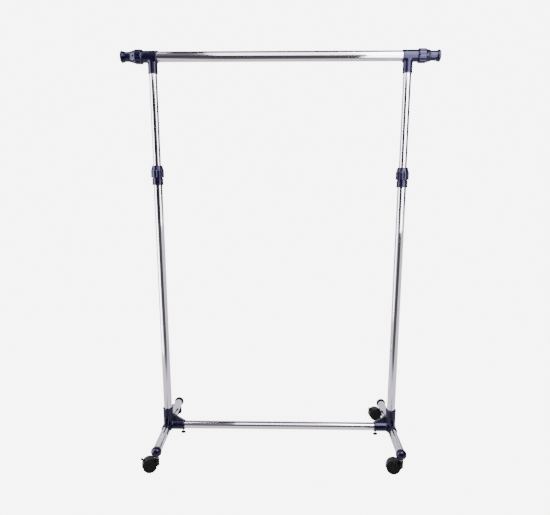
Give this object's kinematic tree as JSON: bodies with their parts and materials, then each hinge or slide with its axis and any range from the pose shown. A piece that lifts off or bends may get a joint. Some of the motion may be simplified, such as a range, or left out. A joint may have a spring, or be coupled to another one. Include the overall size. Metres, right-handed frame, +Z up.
{
  "type": "rolling clothes rack",
  "caption": "Free-standing clothes rack on swivel casters, with one chromed rail that extends sideways and telescopic uprights locked by fluted twist nuts.",
  "frame": {"origin": "on the floor, in the middle of the rack's length and depth", "axes": "+X along the rail to the rack's right, +Y to its back, +Z up"},
  "size_m": [0.8782, 0.391, 1.1796],
  "materials": {
    "chromed_tube": "bright chrome plating",
    "navy_plastic": "glossy dark navy moulding",
    "grey_plastic": "plain grey moulding",
    "black_plastic": "satin black moulding",
    "black_screw": "black moulded wing screw",
    "black_tread": "matt black wheel",
    "plain_steel": "zinc-plated steel"
  },
  "bodies": {
    "base": {"crossbar": "chromed_tube", "base_connector_left": "navy_plastic", "foot_tube_left": "chromed_tube", "foot_cap_front_left": "navy_plastic", "foot_cap_rear_left": "navy_plastic", "lower_upright_left": "chromed_tube", "height_collar_left": "navy_plastic", "base_connector_right": "navy_plastic", "foot_tube_right": "chromed_tube", "foot_cap_front_right": "navy_plastic", "foot_cap_rear_right": "navy_plastic", "lower_upright_right": "chromed_tube", "height_collar_right": "navy_plastic", "caster_stem_front_left": "plain_steel", "caster_stem_front_right": "plain_steel", "caster_stem_rear_left": "plain_steel", "caster_stem_rear_right": "plain_steel"},
    "top_frame": {"top_rail": "chromed_tube", "top_tee_left": "navy_plastic", "upper_upright_left": "chromed_tube", "upright_plug_left": "grey_plastic", "top_tee_right": "navy_plastic", "upper_upright_right": "chromed_tube", "upright_plug_right": "grey_plastic"},
    "left_rod": {"rail_rod_left": "chromed_tube", "rod_plug_left": "grey_plastic", "rod_cap_left": "navy_plastic"},
    "left_rail_nut": {"rail_nut_left": "navy_plastic"},
    "left_height_nut": {"height_nut_left": "navy_plastic"},
    "left_wing_screw": {"wing_screw_left": "black_screw"},
    "left_foot_screw": {"foot_screw_left": "black_screw"},
    "right_rod": {"rail_rod_right": "chromed_tube", "rod_plug_right": "grey_plastic", "rod_cap_right": "navy_plastic"},
    "right_rail_nut": {"rail_nut_right": "navy_plastic"},
    "right_height_nut": {"height_nut_right": "navy_plastic"},
    "right_wing_screw": {"wing_screw_right": "black_screw"},
    "right_foot_screw": {"foot_screw_right": "black_screw"},
    "caster_front_left": {"caster_hood_front_left": "black_plastic", "caster_axle_front_left": "plain_steel"},
    "wheel_front_left_a": {"caster_wheel_front_left_a": "black_tread"},
    "wheel_front_left_b": {"caster_wheel_front_left_b": "black_tread"},
    "brake_front_left": {"caster_brake_front_left": "black_plastic"},
    "caster_front_right": {"caster_hood_front_right": "black_plastic", "caster_axle_front_right": "plain_steel"},
    "wheel_front_right_a": {"caster_wheel_front_right_a": "black_tread"},
    "wheel_front_right_b": {"caster_wheel_front_right_b": "black_tread"},
    "caster_rear_left": {"caster_hood_rear_left": "black_plastic", "caster_axle_rear_left": "plain_steel"},
    "wheel_rear_left_a": {"caster_wheel_rear_left_a": "black_tread"},
    "wheel_rear_left_b": {"caster_wheel_rear_left_b": "black_tread"},
    "caster_rear_right": {"caster_hood_rear_right": "black_plastic", "caster_axle_rear_right": "plain_steel"},
    "wheel_rear_right_a": {"caster_wheel_rear_right_a": "black_tread"},
    "wheel_rear_right_b": {"caster_wheel_rear_right_b": "black_tread"},
    "brake_rear_right": {"caster_brake_rear_right": "black_plastic"}
  },
  "joints": [
    {"name": "height_slide", "type": "slide", "parent": "base", "child": "top_frame", "axis": [0, 0, 1], "range_m": [-0.245, 0.395]},
    {"name": "left_rod_slide", "type": "slide", "parent": "top_frame", "child": "left_rod", "axis": [-1, 0, 0], "range_m": [0, 0.28]},
    {"name": "left_rail_nut_turn", "type": "hinge", "parent": "top_frame", "child": "left_rail_nut", "pos_m": [-0.396, 0, 1.16], "axis": [-1, 0, 0], "range_deg": [0, 180]},
    {"name": "left_height_nut_turn", "type": "hinge", "parent": "base", "child": "left_height_nut", "pos_m": [-0.352, 0, 0.85], "axis": [0, 0, 1], "range_deg": [0, 180]},
    {"name": "left_wing_screw_turn", "type": "hinge", "parent": "base", "child": "left_wing_screw", "pos_m": [-0.306, 0, 0.035], "axis": [0, 0, -1], "range_deg": [0, 360]},
    {"name": "left_foot_screw_turn", "type": "hinge", "parent": "base", "child": "left_foot_screw", "pos_m": [-0.34397, 0.072, 0.06758], "axis": [0.6428, 0, 0.766], "range_deg": [0, 360]},
    {"name": "right_rod_slide", "type": "slide", "parent": "top_frame", "child": "right_rod", "axis": [1, 0, 0], "range_m": [0, 0.28]},
    {"name": "right_rail_nut_turn", "type": "hinge", "parent": "top_frame", "child": "right_rail_nut", "pos_m": [0.396, 0, 1.16], "axis": [1, 0, 0], "range_deg": [0, 180]},
    {"name": "right_height_nut_turn", "type": "hinge", "parent": "base", "child": "right_height_nut", "pos_m": [0.352, 0, 0.85], "axis": [0, 0, 1], "range_deg": [0, 180]},
    {"name": "right_wing_screw_turn", "type": "hinge", "parent": "base", "child": "right_wing_screw", "pos_m": [0.306, 0, 0.035], "axis": [0, 0, -1], "range_deg": [0, 360]},
    {"name": "right_foot_screw_turn", "type": "hinge", "parent": "base", "child": "right_foot_screw", "pos_m": [0.34397, 0.072, 0.06758], "axis": [-0.6428, 0, 0.766], "range_deg": [0, 360]},
    {"name": "swivel_front_left", "type": "hinge", "parent": "base", "child": "caster_front_left", "pos_m": [-0.352, -0.17, 0.035], "axis": [0, 0, 1], "continuous": true},
    {"name": "spin_front_left_a", "type": "hinge", "parent": "caster_front_left", "child": "wheel_front_left_a", "pos_m": [-0.36852, -0.18561, 0.01975], "axis": [0.2588, -0.9659, 0], "continuous": true},
    {"name": "spin_front_left_b", "type": "hinge", "parent": "caster_front_left", "child": "wheel_front_left_b", "pos_m": [-0.37411, -0.16474, 0.01975], "axis": [0.2588, -0.9659, 0], "continuous": true},
    {"name": "brake_tip_front_left", "type": "hinge", "parent": "caster_front_left", "child": "brake_front_left", "pos_m": [-0.38278, -0.17825, 0.03122], "axis": [0.2588, -0.9659, 0], "range_deg": [0, 12]},
    {"name": "swivel_front_right", "type": "hinge", "parent": "base", "child": "caster_front_right", "pos_m": [0.352, -0.17, 0.035], "axis": [0, 0, 1], "continuous": true},
    {"name": "spin_front_right_a", "type": "hinge", "parent": "caster_front_right", "child": "wheel_front_right_a", "pos_m": [0.33043, -0.17716, 0.01975], "axis": [-0.1736, -0.9848, 0], "continuous": true},
    {"name": "spin_front_right_b", "type": "hinge", "parent": "caster_front_right", "child": "wheel_front_right_b", "pos_m": [0.33418, -0.15589, 0.01975], "axis": [-0.1736, -0.9848, 0], "continuous": true},
    {"name": "swivel_rear_left", "type": "hinge", "parent": "base", "child": "caster_rear_left", "pos_m": [-0.352, 0.17, 0.035], "axis": [0, 0, 1], "continuous": true},
    {"name": "spin_rear_left_a", "type": "hinge", "parent": "caster_rear_left", "child": "wheel_rear_left_a", "pos_m": [-0.37411, 0.16474, 0.01975], "axis": [-0.2588, -0.9659, 0], "continuous": true},
    {"name": "spin_rear_left_b", "type": "hinge", "parent": "caster_rear_left", "child": "wheel_rear_left_b", "pos_m": [-0.36852, 0.18561, 0.01975], "axis": [-0.2588, -0.9659, 0], "continuous": true},
    {"name": "swivel_rear_right", "type": "hinge", "parent": "base", "child": "caster_rear_right", "pos_m": [0.352, 0.17, 0.035], "axis": [0, 0, 1], "continuous": true},
    {"name": "spin_rear_right_a", "type": "hinge", "parent": "caster_rear_right", "child": "wheel_rear_right_a", "pos_m": [0.33302, 0.1575, 0.01975], "axis": [0.0872, -0.9962, 0], "continuous": true},
    {"name": "spin_rear_right_b", "type": "hinge", "parent": "caster_rear_right", "child": "wheel_rear_right_b", "pos_m": [0.33114, 0.17902, 0.01975], "axis": [0.0872, -0.9962, 0], "continuous": true},
    {"name": "brake_tip_rear_right", "type": "hinge", "parent": "caster_rear_right", "child": "brake_rear_right", "pos_m": [0.32025, 0.16722, 0.03122], "axis": [0.0872, -0.9962, 0], "range_deg": [0, 12]}
  ]
}
